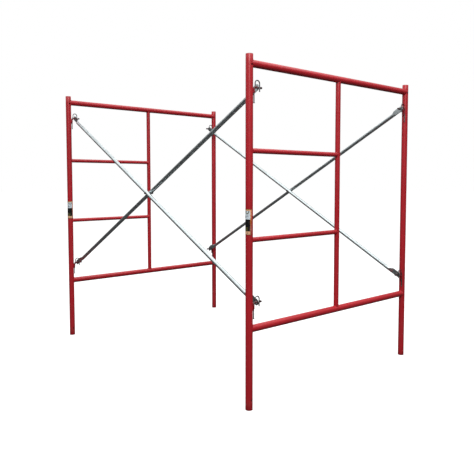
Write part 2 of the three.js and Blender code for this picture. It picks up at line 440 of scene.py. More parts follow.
def saddle_bead(shell, joint, direction, radius, neighbour):
    """A bead all round the end of a coped tube. joint is where the two axes cross. The bead is
    kept from standing out past the CAD's front and back."""
    upward = direction.cross(Y_AXIS)
    steps = int(2 * math.pi * radius * 1.1 / RIPPLE_PITCH) * RIPPLE_STEPS
    centres = []
    outward = []
    for step in range(steps):
        angle = 2 * math.pi * step / steps
        stand_off = saddle(radius, neighbour, angle)
        tube_normal = math.cos(angle) * upward + math.sin(angle) * Y_AXIS
        point = stand_off * direction + radius * tube_normal
        neighbour_normal = (stand_off * direction + radius * math.sin(angle) * Y_AXIS) / neighbour
        normal = (tube_normal + neighbour_normal).normalized()
        closeness = tube_normal.dot(neighbour_normal)
        sink = closeness * (0.95 * BEAD_RADIUS - PROUD_AT_TANGENT)
        centres.append(joint + point - sink * normal)
        outward.append(normal)
    rings = bead_rings(centres, outward, BEAD_RADIUS, True)
    for ring in rings:
        for point in ring:
            point.y = max(cad_low.y, min(cad_high.y, point.y))
    shell.skin(rings, loop=True)


def straight_bead(shell, start, end, outward, radius):
    steps = max(2, round((end - start).length / RIPPLE_PITCH)) * RIPPLE_STEPS
    centres = [start.lerp(end, step / steps) for step in range(steps + 1)]
    shell.solid(bead_rings(centres, [outward] * len(centres), radius, False))


def add_coped_tube(node, start, end, radius, start_neighbour, end_neighbour):
    shell = coped_shell(start, end, radius, start_neighbour, end_neighbour)
    piece(f"{node}_tube", shell, red_enamel, [node])
    direction = (end - start).normalized()
    welds = Shell()
    saddle_bead(welds, start, direction, radius, start_neighbour)
    saddle_bead(welds, end, -direction, radius, end_neighbour)
    piece(f"{node}_welds", welds, red_weld)


def add_end_frame(end):
    left = middle(f"{end}_left_leg")
    right = middle(f"{end}_right_leg")
    post = middle(f"{end}_centre_post")
    leg_radius = tube_radius(f"{end}_left_leg", 0)
    post_radius = tube_radius(f"{end}_centre_post", 0)
    rail_level = {}
    for rail in ("top", "bottom"):
        node = f"{end}_{rail}_rail"
        level = middle(node).z
        rail_level[rail] = level
        start = Vector((left.x, left.y, level))
        finish = Vector((right.x, left.y, level))
        add_coped_tube(node, start, finish, tube_radius(node, 2), leg_radius, leg_radius)
    rail_radius = tube_radius(f"{end}_top_rail", 2)
    foot = Vector((post.x, post.y, rail_level["bottom"]))
    head = Vector((post.x, post.y, rail_level["top"]))
    add_coped_tube(f"{end}_centre_post", foot, head, post_radius, rail_radius, rail_radius)
    for rung in ("upper", "lower"):
        node = f"{end}_{rung}_rung"
        level = middle(node).z
        start = Vector((left.x, left.y, level))
        finish = Vector((post.x, post.y, level))
        add_coped_tube(node, start, finish, tube_radius(node, 2), leg_radius, post_radius)
    for side in ("left", "right"):
        add_leg(f"{end}_{side}_leg")
    add_label(f"{end}_label", f"{end}_left_leg", REAR_LABEL_TURN if end == "rear" else 0)


# Locks: a stud, a keeper and its sleeve on each leg.

class LockPlace:
    """Turns a lock's own x, y, z into the row frame. Right-hand locks are mirrored across X."""

    def __init__(self, end, side, level):
        self.leg = middle(f"{end}_{side}_leg")
        self.inward = 1 if side == "left" else -1
        low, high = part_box(f"{end}_{side}_{level}_stud")
        self.level = high.z - STUD_RADIUS
        tip = high.x if side == "left" else low.x
        self.reach = abs(tip - self.leg.x)
        self.leg_radius = tube_radius(f"{end}_{side}_leg", 0)

    def point(self, x, y, z):
        return Vector((self.leg.x + self.inward * x, self.leg.y + y, self.level + z))

    def direction(self, x, y, z):
        return Vector((self.inward * x, y, z)).normalized()


def arc(centre_x, centre_z, radius, start_degrees, end_degrees, steps):
    points = []
    for degrees in spread(start_degrees, end_degrees, steps):
        angle = math.radians(degrees)
        points.append((centre_x + radius * math.cos(angle), centre_z + radius * math.sin(angle)))
    return points


def rod_shell(place, stations, y):
    """A round rod in the plane y. stations are (x, z, radius) along its line."""
    points = [place.point(x, y, z) for x, z, _ in stations]
    rings = []
    for number, point in enumerate(points):
        before = points[max(number - 1, 0)]
        after = points[min(number + 1, len(points) - 1)]
        if (after - before).length < 1e-7:
            after = points[min(number + 2, len(points) - 1)]
            before = points[max(number - 2, 0)]
        tangent = (after - before).normalized()
        rings.append(ring_round(point, Y_AXIS, tangent.cross(Y_AXIS), stations[number][2], ROD_SIDES))
    shell = Shell()
    shell.solid(rings)
    return shell


def add_stud(node, place):
    centre_x = place.leg_radius + FIT_GAP + STUD_RADIUS
    chamfer = STUD_TIP_CHAMFER
    foot = -STUD_BEND - STUD_TAIL
    stations = [
        (centre_x, foot, STUD_RADIUS - 0.6 * chamfer),
        (centre_x, foot + 0.6 * chamfer, STUD_RADIUS),
    ]
    upright = spread(foot + 2 * MM, -STUD_BEND - 1 * MM, 4)
    stations += [(centre_x, level, STUD_RADIUS) for level in upright]
    bend = arc(centre_x + STUD_BEND, -STUD_BEND, STUD_BEND, 180, 90, 18)
    stations += [(x, z, STUD_RADIUS) for x, z in bend]
    pin = spread(centre_x + STUD_BEND + 2 * MM, place.reach - 2 * chamfer, 4)
    stations += [(x, 0, STUD_RADIUS) for x in pin]
    for share in (0.0, 0.35, 0.7, 1.0):
        drop = 1 - math.sqrt(1 - share ** 2 * 0.9)
        stations.append((place.reach - chamfer * (1 - share), 0, STUD_RADIUS - chamfer * drop))
    piece(f"{node}_bar", rod_shell(place, stations, 0), stud_enamel, [node])
    welds = Shell()
    for side in (-1, 1):
        angle = side * STUD_WELD_ANGLE
        radius = place.leg_radius + 0.7 * MM
        x = radius * math.cos(angle)
        y = radius * math.sin(angle)
        outward = place.direction(math.cos(angle * 4), math.sin(angle * 4), 0)
        start = place.point(x, y, foot + 0.5 * MM)
        finish = place.point(x, y, -STUD_BEND + 1.5 * MM)
        straight_bead(welds, start, finish, outward, SMALL_BEAD_RADIUS)
    piece(f"{node}_welds", welds, red_weld)


def bezier(start, first, second, end, steps):
    points = []
    for share in spread(0, 1, steps):
        rest = 1 - share
        weights = (rest ** 3, 3 * rest ** 2 * share, 3 * rest * share ** 2, share ** 3)
        corners = (start, first, second, end)
        x = sum(weight * corner[0] for weight, corner in zip(weights, corners))
        z = sum(weight * corner[1] for weight, corner in zip(weights, corners))
        points.append((x, z))
    return points


def add_keeper(node, place):
    tail_x = KEEPER_RISE_X + 2 * HOOP_RADIUS
    bend_middle = (S_BEND_START + S_BEND_END) / 2
    foot_top = FOOT_LEVEL + FOOT_THICKNESS
    stations = [
        (KEEPER_LEG_X, FOOT_LEVEL, FOOT_RADIUS - FOOT_ROUNDING),
        (KEEPER_LEG_X, FOOT_LEVEL + 0.3 * FOOT_ROUNDING, FOOT_RADIUS - 0.3 * FOOT_ROUNDING),
        (KEEPER_LEG_X, FOOT_LEVEL + FOOT_ROUNDING, FOOT_RADIUS),
        (KEEPER_LEG_X, foot_top - FOOT_ROUNDING, FOOT_RADIUS),
        (KEEPER_LEG_X, foot_top - 0.2 * FOOT_ROUNDING, FOOT_RADIUS - 0.4 * FOOT_ROUNDING),
        (KEEPER_LEG_X, foot_top, WIRE_RADIUS + 0.5 * MM),
        (KEEPER_LEG_X, foot_top + 0.5 * MM, WIRE_RADIUS),
    ]
    shank = spread(foot_top + 2 * MM, S_BEND_START, 8)[:-1]
    stations += [(KEEPER_LEG_X, level, WIRE_RADIUS) for level in shank]
    s_bend = bezier(
        (KEEPER_LEG_X, S_BEND_START),
        (KEEPER_LEG_X, bend_middle),
        (KEEPER_RISE_X, bend_middle),
        (KEEPER_RISE_X, S_BEND_END),
        16,
    )
    hoop = arc(KEEPER_RISE_X + HOOP_RADIUS, HOOP_HEIGHT, HOOP_RADIUS, 180, 0, 40)
    stations += [(x, z, WIRE_RADIUS) for x, z in s_bend + hoop]
    tail = spread(HOOP_HEIGHT - 3 * MM, TAIL_LEVEL + 3 * MM, 8)
    stations += [(tail_x, level, WIRE_RADIUS) for level in tail]
    for share in (0.35, 0.6, 0.8, 1.0):
        level = TAIL_LEVEL + 1.4 * MM * (1 - share)
        stations.append((tail_x, level, WIRE_RADIUS * math.sqrt(1 - (0.72 * share) ** 2)))
    shell = rod_shell(place, stations, KEEPER_SIDE)
    piece(f"{node}_wire", shell, zinc_plate, [node], body=f"{node}_body")


def add_sleeve(node, place):
    centre = place.point(KEEPER_LEG_X, KEEPER_SIDE, 0)
    shell = Shell()
    profile = [
        (SLEEVE_BOTTOM, SLEEVE_RADIUS - SLEEVE_CHAMFER),
        (SLEEVE_BOTTOM + SLEEVE_CHAMFER, SLEEVE_RADIUS),
        (SLEEVE_TOP - SLEEVE_CHAMFER, SLEEVE_RADIUS),
        (SLEEVE_TOP, SLEEVE_RADIUS - SLEEVE_CHAMFER),
        (SLEEVE_TOP, SLEEVE_BORE + SLEEVE_CHAMFER),
        (SLEEVE_TOP - SLEEVE_CHAMFER, SLEEVE_BORE),
        (SLEEVE_BOTTOM + SLEEVE_CHAMFER, SLEEVE_BORE),
        (SLEEVE_BOTTOM, SLEEVE_BORE + SLEEVE_CHAMFER),
    ]
    rings = [
        ring_round(centre + level * Z_AXIS, X_AXIS, Y_AXIS, size, ROD_SIDES)
        for level, size in profile
    ]
    shell.skin(rings, loop=True)
    piece(f"{node}_tube", shell, stud_enamel, [node])
    welds = Shell()
    bearing = math.atan2(KEEPER_SIDE, KEEPER_LEG_X)
    for side in (-1, 1):
        angle = bearing + side * SLEEVE_WELD_ANGLE
        radius = place.leg_radius + 0.6 * MM
        x = radius * math.cos(angle)
        y = radius * math.sin(angle)
        outward = place.direction(math.cos(angle + side), math.sin(angle + side), 0)
        start = place.point(x, y, SLEEVE_BOTTOM + 2 * MM)
        finish = place.point(x, y, SLEEVE_TOP - 2 * MM)
        straight_bead(welds, start, finish, outward, 0.8 * SMALL_BEAD_RADIUS)
    piece(f"{node}_welds", welds, red_weld)


def add_lock(end, side, level):
    place = LockPlace(end, side, level)
    prefix = f"{end}_{side}_{level}"
    add_stud(f"{prefix}_stud", place)
    add_sleeve(f"{prefix}_keeper_sleeve", place)
    add_keeper(f"{prefix}_keeper", place)
    return place


# Crossed braces.

def brace_sections(half_length):
    """Sections from the middle to the tip: distance from the middle, half width, half thickness,
    squareness and share of the tube's offset."""
    hole = half_length
    flat_end = hole - FLAT_LENGTH
    taper_end = flat_end - TAPER_LENGTH
    tube = (BRACE_RADIUS, BRACE_RADIUS, 1.0, 1.0)
    sections = [(along, *tube) for along in spread(0, 9 * MM, 6)]
    sections += [(along, *tube) for along in spread(200 * MM, taper_end - 2 * MM, 8)]
    for part in spread(1, 0, 18):
        ease = smoothstep(part)
        half_width = FLAT_HALF_WIDTH + (BRACE_RADIUS - FLAT_HALF_WIDTH) * ease
        half_thickness = FLAT_HALF_THICKNESS + (BRACE_RADIUS - FLAT_HALF_THICKNESS) * ease
        squareness = FLAT_SQUARENESS + (1 - FLAT_SQUARENESS) * smoothstep(ease)
        sections.append((flat_end - part * TAPER_LENGTH, half_width, half_thickness, squareness, ease))
    flat = (FLAT_HALF_WIDTH, FLAT_HALF_THICKNESS, FLAT_SQUARENESS, 0.0)
    sections += [(along, *flat) for along in spread(flat_end + 4 * MM, hole, 10)]
    for degrees in spread(6, 84, 13):
        angle = math.radians(degrees)
        along = hole + FLAT_HALF_WIDTH * math.sin(angle)
        half_width = FLAT_HALF_WIDTH * math.cos(angle)
        sections.append((along, half_width, FLAT_HALF_THICKNESS, FLAT_SQUARENESS, 0.0))
    tip = hole + FLAT_HALF_WIDTH * math.sin(math.radians(88))
    sections.append((tip, 0.04 * FLAT_HALF_WIDTH, 0.5 * FLAT_HALF_THICKNESS, FLAT_SQUARENESS, 0.0))
    return sections


def signed_power(number, power):
    return math.copysign(abs(number) ** power, number)


def brace_shell(start, end, tube_x):
    """A tube from hole to hole with pressed ends. start and end are hole centres on the flats' plane."""
    centre = (start + end) / 2
    direction = (end - start).normalized()
    across = direction.cross(X_AXIS)
    offset = tube_x - centre.x
    half = brace_sections((end - start).length / 2)
    rows = [(-along, *rest) for along, *rest in reversed(half[1:])] + half
    rings = []
    for along, half_width, half_thickness, squareness, share in rows:
        ring = []
        for side in range(BRACE_SIDES):
            angle = 2 * math.pi * (side + 0.5) / BRACE_SIDES
            sideways = half_width * signed_power(math.cos(angle), squareness)
            through = half_thickness * signed_power(math.sin(angle), squareness)
            through += offset * share
            ring.append(centre + along * direction + sideways * across + through * X_AXIS)
        rings.append(ring)
    shell = Shell()
    shell.solid(rings)
    return shell


def hook_cutter(centre):
    """A punch for the hole in a flat, which also rounds the hole's edges."""
    reach = 10 * MM
    face = FLAT_HALF_THICKNESS
    flare = HOOK_HOLE_RADIUS + HOOK_HOLE_ROUNDING
    levels = [
        (-reach, flare + reach - face),
        (-face, flare),
        (-face + HOOK_HOLE_ROUNDING, HOOK_HOLE_RADIUS),
        (face - HOOK_HOLE_ROUNDING, HOOK_HOLE_RADIUS),
        (face, flare),
        (reach, flare + reach - face),
    ]
    profile = [((level + reach) / (2 * reach), radius) for level, radius in levels]
    return round_bar(centre - reach * X_AXIS, centre + reach * X_AXIS, profile, HOLE_SIDES)


def add_brace(side, name, front_lock, rear_lock):
    node = f"{side}_{name}_brace"
    low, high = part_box(node)
    if name == "rising":
        flat_x = high.x - FLAT_HALF_THICKNESS
        tube_x = low.x + BRACE_RADIUS
    else:
        flat_x = low.x + FLAT_HALF_THICKNESS
        tube_x = high.x - BRACE_RADIUS
    start = Vector((flat_x, front_lock.leg.y, front_lock.level))
    end = Vector((flat_x, rear_lock.leg.y, rear_lock.level))
    crossing = (start + end) / 2
    crossing.x = tube_x
    bolt_hole = punch(crossing, 1.5 * BRACE_RADIUS * X_AXIS, BOLT_HOLE_RADIUS)
    holes = [bolt_hole, hook_cutter(start), hook_cutter(end)]
    shell = brace_shell(start, end, tube_x)
    piece(f"{node}_tube", shell, galvanised, [node], cutters=holes)


def off_axis(x, place, radius, angle):
    """A point at a radius and an angle from the bolt's axis."""
    return Vector((x, place.y + radius * math.cos(angle), place.z + radius * math.sin(angle)))


def hex_radius(angle):
    """Radius of a hexagon at an angle, from the radius to its flats."""
    sector = math.pi / 3
    return HEX_FLAT_RADIUS / math.cos((angle + sector / 2) % sector - sector / 2)


def hex_rings(x_out, x_in, place):
    """Rings of a hexagon from its chamfered outer face at x_out to x_in."""
    chamfer_radius = 0.97 * HEX_FLAT_RADIUS
    toward = math.copysign(1, x_in - x_out)

    def ring(kind):
        points = []
        for side in range(HEX_SIDES):
            angle = 2 * math.pi * side / HEX_SIDES
            radius = hex_radius(angle)
            if kind == "face":
                x, radius = x_out, chamfer_radius
            elif kind == "chamfer":
                x = x_out + toward * (radius - chamfer_radius) * math.tan(math.radians(30))
            else:
                x = x_in
            points.append(off_axis(x, place, radius, angle))
        return points

    return [ring("face"), ring("chamfer"), ring("back")]


def flat_ring(x, place, radius):
    return ring_round(Vector((x, place.y, place.z)), Y_AXIS, Z_AXIS, radius, HEX_SIDES)


def thread_ring(x, place, depth):
    """A ring across a helical thread."""
    points = []
    for side in range(HEX_SIDES):
        turn = side / HEX_SIDES
        phase = (x / THREAD_PITCH - turn) % 1
        radius = BOLT_RADIUS - depth * (1 - abs(2 * phase - 1))
        angle = 2 * math.pi * turn
        points.append(off_axis(x, place, radius, angle))
    return points


def add_centre_bolt(side):
    bolt = f"{side}_brace_bolt"
    nut = f"{side}_brace_nut"
    low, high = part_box(bolt)
    place = middle(bolt)
    head_back = low.x + HEAD_THICKNESS
    thread_start = high.x - THREAD_LENGTH
    rings = hex_rings(low.x, head_back, place)
    rings.append(flat_ring(head_back, place, BOLT_RADIUS))
    rings.append(flat_ring(thread_start, place, BOLT_RADIUS))
    turns = spread(thread_start + 0.3 * MM, high.x - 1.0 * MM, round(THREAD_LENGTH / THREAD_PITCH * 8))
    rings += [thread_ring(x, place, THREAD_DEPTH) for x in turns]
    rings.append(flat_ring(high.x - 0.8 * MM, place, BOLT_RADIUS - THREAD_DEPTH))
    rings.append(flat_ring(high.x, place, BOLT_RADIUS - 1.5 * THREAD_DEPTH))
    shell = Shell()
    shell.solid(rings)
    piece(f"{bolt}_threaded", shell, zinc_plate, [bolt])
    nut_low, nut_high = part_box(nut)
    middle_x = (nut_low.x + nut_high.x) / 2
    bore = BOLT_RADIUS + 0.35 * MM
    lead_in = 0.6 * MM
    outer = hex_rings(nut_low.x, middle_x, place) + hex_rings(nut_high.x, middle_x, place)[::-1][1:]
    inner = [
        flat_ring(nut_high.x, place, bore + lead_in),
        flat_ring(nut_high.x - lead_in, place, bore),
        flat_ring(nut_low.x + lead_in, place, bore),
        flat_ring(nut_low.x, place, bore + lead_in),
    ]
    nut_shell = Shell()
    nut_shell.skin(outer + inner, loop=True)
    piece(f"{nut}_hex", nut_shell, zinc_plate, [nut])


# Labels.

def add_label(node, leg_node, turn):
    """A thin curved patch with rounded corners. Its map runs 0 to 1 round the leg and 0 to 1 upward."""
    low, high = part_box(node)
    leg = middle(leg_node)
    inner = tube_radius(leg_node, 0) + LABEL_GAP
    outer = inner + LABEL_THICKNESS
    height = high.z - low.z
    columns = 64
    corner_steps = [LABEL_CORNER * (1 - math.cos(math.radians(a))) for a in spread(0, 90, 8)]
    levels = corner_steps + spread(LABEL_CORNER, height - LABEL_CORNER, 12)[1:-1]
    levels += [height - step for step in reversed(corner_steps)]
    shell = Shell()

    def shares(level):
        inset = max(0.0, LABEL_CORNER - min(level, height - level))
        trim = LABEL_CORNER - math.sqrt(max(0.0, LABEL_CORNER ** 2 - inset ** 2))
        cut_angle = trim / outer
        return [cut_angle / (2 * LABEL_HALF_ANGLE) + share * (1 - cut_angle / LABEL_HALF_ANGLE)
                for share in spread(0, 1, columns)]

    def point(share, level, radius):
        angle = math.pi + turn - LABEL_HALF_ANGLE + share * 2 * LABEL_HALF_ANGLE
        return Vector((leg.x + radius * math.cos(angle), leg.y + radius * math.sin(angle), low.z + level))

    grid = [shares(level) for level in levels]
    width = columns + 1
    for radius in (outer, inner):
        for level, row in zip(levels, grid):
            shell.verts.extend(point(share, level, radius) for share in row)
    back = width * len(levels)

    def face(*corners):
        shell.faces.append(tuple(index for index, _, _ in corners))
        shell.maps.append(tuple((share, level / height) for _, share, level in corners))

    def corner(row, column, layer):
        return layer * back + row * width + column, grid[row][column], levels[row]

    for row in range(len(levels) - 1):
        for column in range(columns):
            for layer in (0, 1):
                face(corner(row, column, layer), corner(row, column + 1, layer),
                     corner(row + 1, column + 1, layer), corner(row + 1, column, layer))
        for column in (0, columns):
            face(corner(row, column, 0), corner(row + 1, column, 0),
                 corner(row + 1, column, 1), corner(row, column, 1))
    for row in (0, len(levels) - 1):
        for column in range(columns):
            face(corner(row, column, 0), corner(row, column + 1, 0),
                 corner(row, column + 1, 1), corner(row, column, 1))
    piece(f"{node}_vinyl", shell, label_vinyl, [node])


# Materials.

class Paint:
    """A material's nodes, added one at a time."""

    def __init__(self, name):
        self.material = bpy.data.materials.new(name)
        self.material.use_nodes = True
        self.tree = self.material.node_tree
        self.shader = next(n for n in self.tree.nodes if n.type == "BSDF_PRINCIPLED")
        self.place = self.add("ShaderNodeTexCoord").outputs["Object"]
        self.span = self.add("ShaderNodeUVMap", uv_map="span").outputs["UV"]

    def add(self, kind, **settings):
        node = self.tree.nodes.new(kind)
        for key, value in settings.items():
            setattr(node, key, value)
        return node

    def link(self, output, target):
        self.tree.links.new(output, target)

    def put(self, target, value):
        """Gives a socket either another node's output or a plain value."""
        if isinstance(value, bpy.types.NodeSocket):
            self.link(value, target)
        else:
            target.default_value = value

    def noise(self, scale, detail=3.0, roughness=0.5, where=None):
        node = self.add("ShaderNodeTexNoise")
        self.link(where or self.place, node.inputs["Vector"])
        node.inputs["Scale"].default_value = scale
        node.inputs["Detail"].default_value = detail
        node.inputs["Roughness"].default_value = roughness
        return node.outputs["Fac"]

    def cells(self, scale):
        node = self.add("ShaderNodeTexVoronoi")
        self.link(self.place, node.inputs["Vector"])
        node.inputs["Scale"].default_value = scale
        return node

    def stretched(self, scale):
        """The map of a shell, stretched for streaks along or round it."""
        node = self.add("ShaderNodeMapping")
        self.link(self.span, node.inputs["Vector"])
        node.inputs["Scale"].default_value = scale
        return node.outputs["Vector"]

    def ramp(self, value, stops, steps=False):
        node = self.add("ShaderNodeValToRGB")
        node.color_ramp.interpolation = "CONSTANT" if steps else "LINEAR"
        elements = node.color_ramp.elements
        while len(elements) < len(stops):
            elements.new(0.5)
        for element, (position, colour) in zip(elements, stops):
            element.position = position
            element.color = (*colour, 1)
        self.link(value, node.inputs["Fac"])
        return node.outputs["Color"]

    def between(self, value, low, high):
        """value stretched so that low becomes 0 and high becomes 1."""
        return self.remap(value, low, high, 0.0, 1.0)

    def remap(self, value, low, high, new_low, new_high):
        node = self.add("ShaderNodeMapRange", clamp=True)
        self.link(value, node.inputs["Value"])
        node.inputs["From Min"].default_value = low
        node.inputs["From Max"].default_value = high
        node.inputs["To Min"].default_value = new_low
        node.inputs["To Max"].default_value = new_high
        return node.outputs["Result"]

    def math(self, operation, first, second=0.0):
        node = self.add("ShaderNodeMath", operation=operation)
        self.put(node.inputs[0], first)
        self.put(node.inputs[1], second)
        return node.outputs[0]

    def mix(self, share, first, second):
        node = self.add("ShaderNodeMix", data_type="RGBA")
        self.put(node.inputs["Factor"], share)
        self.put(node.inputs[6], first)
        self.put(node.inputs[7], second)
        return node.outputs[2]

    def split(self, vector):
        node = self.add("ShaderNodeSeparateXYZ")
        self.link(vector, node.inputs[0])
        return node.outputs

    def bump(self, height, distance, strength=1.0, below=None):
        node = self.add("ShaderNodeBump")
        node.inputs["Strength"].default_value = strength
        node.inputs["Distance"].default_value = distance
        self.link(height, node.inputs["Height"])
        if below is not None:
            self.link(below, node.inputs["Normal"])
        return node.outputs["Normal"]

    def set(self, **sockets):
        for name, value in sockets.items():
            self.put(self.shader.inputs[name.replace("_", " ")], value)


def grey(level):
    return (level, level, level, 1)


def red_paint(name, bead=False, worn_and_shaded=False):
    """Glossy red enamel, a little dusty and chipped low down, with near-black painted shade inside the
    legs' bores and pin holes.
    bead adds the dirt that sits in welds. The stud option darkens the red of studs and sleeves all over as
    painted shade and wears a stud's pin, which the braces rub, down to dark steel."""
    paint = Paint(name)
    cloud = paint.noise(2.2, detail=4)
    fine = paint.noise(55, detail=4, roughness=0.6)
    colour = paint.ramp(cloud, [(0.3, (0.41, 0.0120, 0.0195)), (0.7, (0.50, 0.0155, 0.0260))])
    colour = paint.mix(paint.remap(fine, 0.3, 0.75, 0.0, 0.3), colour, (0.36, 0.011, 0.017, 1))
    level = paint.split(paint.place)[2]
    dust_height = paint.remap(level, 0.0, 0.35, 0.32, 0.04)
    dust_patch = paint.between(paint.noise(17, detail=6, roughness=0.65), 0.45, 0.8)
    dust = paint.math("MULTIPLY", dust_height, dust_patch)
    colour = paint.mix(dust, colour, (0.30, 0.12, 0.09, 1))
    chip_noise = paint.noise(160, detail=3, roughness=0.55)
    chip_edge = paint.math("ADD", paint.remap(level, 0.0, 0.08, 0.0, 0.13), 0.67)
    chips = paint.math("GREATER_THAN", chip_noise, chip_edge)
    colour = paint.mix(chips, colour, (0.10, 0.075, 0.065, 1))
    if bead:
        colour = paint.mix(paint.remap(fine, 0.35, 0.6, 0.1, 0.55), colour, (0.16, 0.007, 0.011, 1))
    # Inside the legs' skin, in their bores and pin holes, the colour is near-black painted shade.
    across, along, _ = paint.split(paint.place)
    leg = middle("front_left_leg")
    from_leg_x = paint.math("SUBTRACT", paint.math("ABSOLUTE", across), abs(leg.x))
    from_leg_y = paint.math("SUBTRACT", paint.math("ABSOLUTE", along), abs(leg.y))
    square_x = paint.math("MULTIPLY", from_leg_x, from_leg_x)
    square_y = paint.math("MULTIPLY", from_leg_y, from_leg_y)
    skin = tube_radius("front_left_leg", 0) - 0.3 * MM
    inside = paint.math("LESS_THAN", paint.math("ADD", square_x, square_y), skin ** 2)
    bore_painted_shade = paint.ramp(fine, [(0.35, (0.012, 0.008, 0.008)), (0.65, (0.035, 0.02, 0.018))])
    colour = paint.mix(inside, colour, bore_painted_shade)
    roughness = paint.remap(fine, 0.3, 0.7, 0.3, 0.4)
    roughness = paint.math("ADD", roughness, paint.math("MULTIPLY", dust, 0.5))
    roughness = paint.math("ADD", roughness, paint.math("MULTIPLY", chips, 0.3))
    if worn_and_shaded:
        # Studs and sleeves take a darker red all over: painted shade. The rub below is wear on the pin.
        colour = paint.mix(paint.remap(fine, 0.3, 0.7, 0.45, 0.8), colour, (0.085, 0.008, 0.011, 1))
        ragged = paint.remap(paint.noise(90, detail=4), 0.3, 0.7, -8 * MM, 8 * MM)
        from_middle = paint.math("ADD", paint.math("ABSOLUTE", across), ragged)
        rub = paint.remap(from_middle, WEAR_START, WEAR_END, 0.0, 0.93)
        steel = paint.ramp(fine, [(0.35, (0.018, 0.012, 0.014)), (0.65, (0.065, 0.042, 0.045))])
        colour = paint.mix(rub, colour, steel)
        roughness = paint.math("ADD", roughness, paint.math("MULTIPLY", rub, 0.15))
    peel = paint.bump(paint.noise(420, detail=2), 0.1 * MM, 0.1)
    waves = paint.bump(paint.noise(45, detail=1), 0.4 * MM, 0.03, below=peel)
    normal = paint.bump(chips, -0.25 * MM, 0.5, below=waves)
    paint.set(Base_Color=colour, Roughness=roughness, Normal=normal, Metallic=0.0)
    paint.set(IOR=1.5, Specular_IOR_Level=0.42, Coat_Weight=0.12, Coat_Roughness=0.2)
    return paint.material


def galvanised_paint():
    """Bright galvanised tube: crystal spangle, drawn streaks and dull patches."""
    paint = Paint("galvanised_steel")
    warp = paint.noise(30, detail=2)
    crystals = paint.cells(70)
    crystal_grey = paint.split(crystals.outputs["Color"])[0]
    colour = paint.ramp(crystal_grey, [(0.0, (0.54, 0.60, 0.61)), (1.0, (0.67, 0.74, 0.755))])
    streak = paint.noise(1.0, detail=4, where=paint.stretched((14, 420, 1)))
    colour = paint.mix(paint.remap(streak, 0.35, 0.75, 0.0, 0.4), colour, (0.33, 0.355, 0.36, 1))
    dull = paint.between(paint.noise(9, detail=5, roughness=0.6), 0.5, 0.72)
    colour = paint.mix(paint.math("MULTIPLY", dull, 0.3), colour, (0.38, 0.41, 0.40, 1))
    roughness = paint.remap(crystal_grey, 0, 1, 0.26, 0.38)
    roughness = paint.math("ADD", roughness, paint.math("MULTIPLY", dull, 0.12))
    roughness = paint.math("ADD", roughness, paint.remap(warp, 0.3, 0.7, 0.0, 0.05))
    grain = paint.bump(streak, 0.12 * MM, 0.25)
    normal = paint.bump(paint.noise(240, detail=3), 0.2 * MM, 0.12, below=grain)
    paint.set(Base_Color=colour, Roughness=roughness, Normal=normal, Metallic=1.0)
    return paint.material


def zinc_paint():
    """Zinc-plated wire and fasteners, with darker handling marks."""
    paint = Paint("zinc_plate")
    patch = paint.noise(120, detail=5, roughness=0.6)
    colour = paint.ramp(patch, [(0.35, (0.13, 0.128, 0.13)), (0.65, (0.27, 0.27, 0.28))])
    scratch = paint.noise(1.0, detail=3, where=paint.stretched((60, 900, 1)))
    colour = paint.mix(paint.remap(scratch, 0.45, 0.75, 0.0, 0.5), colour, (0.10, 0.095, 0.09, 1))
    roughness = paint.remap(patch, 0.3, 0.7, 0.5, 0.32)
    normal = paint.bump(scratch, 0.1 * MM, 0.3)
    paint.set(Base_Color=colour, Roughness=roughness, Normal=normal, Metallic=1.0)
    return paint.material


def label_paint():
    """Printed vinyl: plain blocks of colour and simple marks, with no words."""
    paint = Paint("label_vinyl")
    across, up, _ = paint.split(paint.span)

    def box(left, right, bottom, top):
        inside = paint.math("GREATER_THAN", across, left)
        inside = paint.math("MULTIPLY", inside, paint.math("LESS_THAN", across, right))
        inside = paint.math("MULTIPLY", inside, paint.math("GREATER_THAN", up, bottom))
        return paint.math("MULTIPLY", inside, paint.math("LESS_THAN", up, top))

    def disc(centre_across, centre_up, radius):
        """Inside a circle. Both directions are scaled to the label's height."""
        run = paint.math("MULTIPLY", paint.math("SUBTRACT", across, centre_across), 0.45)
        rise = paint.math("SUBTRACT", up, centre_up)
        square = paint.math("ADD", paint.math("MULTIPLY", run, run), paint.math("MULTIPLY", rise, rise))
        return paint.math("LESS_THAN", square, radius * radius)

    colour = paint.ramp(up, [
        (0.0, (0.10, 0.018, 0.012)),
        (0.025, (0.74, 0.42, 0.24)),
        (0.145, (0.006, 0.0055, 0.006)),
        (0.60, (0.62, 0.70, 0.76)),
        (0.93, (0.74, 0.36, 0.15)),
        (0.975, (0.16, 0.05, 0.012)),
    ], steps=True)
    strip = paint.ramp(up, [
        (0.0, (0.26, 0.07, 0.03)),
        (0.25, (0.50, 0.17, 0.13)),
        (0.5, (0.42, 0.11, 0.02)),
        (0.8, (0.80, 0.32, 0.16)),
    ])
    colour = paint.mix(box(0.87, 1.01, 0.03, 0.97), colour, strip)
    ring = paint.math("SUBTRACT", disc(0.6, 0.885, 0.08), disc(0.6, 0.885, 0.045))
    ring = paint.math("MULTIPLY", ring, paint.math("LESS_THAN", up, 0.925))
    colour = paint.mix(ring, colour, (0.12, 0.12, 0.05, 1))
    for dot in ((0.42, 0.70, 0.032), (0.63, 0.73, 0.02), (0.65, 0.085, 0.022)):
        colour = paint.mix(disc(*dot), colour, (0.11, 0.13, 0.14, 1))
    for row in range(3):
        bottom = 0.18 + 0.045 * row
        colour = paint.mix(box(0.32, 0.62, bottom, bottom + 0.022), colour, (0.17, 0.15, 0.03, 1))
    fade = paint.noise(70, detail=5, roughness=0.6)
    colour = paint.mix(paint.remap(fade, 0.5, 0.8, 0.0, 0.12), colour, (0.45, 0.36, 0.28, 1))
    roughness = paint.remap(fade, 0.3, 0.7, 0.3, 0.5)
    normal = paint.bump(paint.noise(200, detail=3), 0.2 * MM, 0.2)
    paint.set(Base_Color=colour, Roughness=roughness, Normal=normal, Metallic=0.0)
    paint.set(Specular_IOR_Level=0.2)
    return paint.material


# Studio.

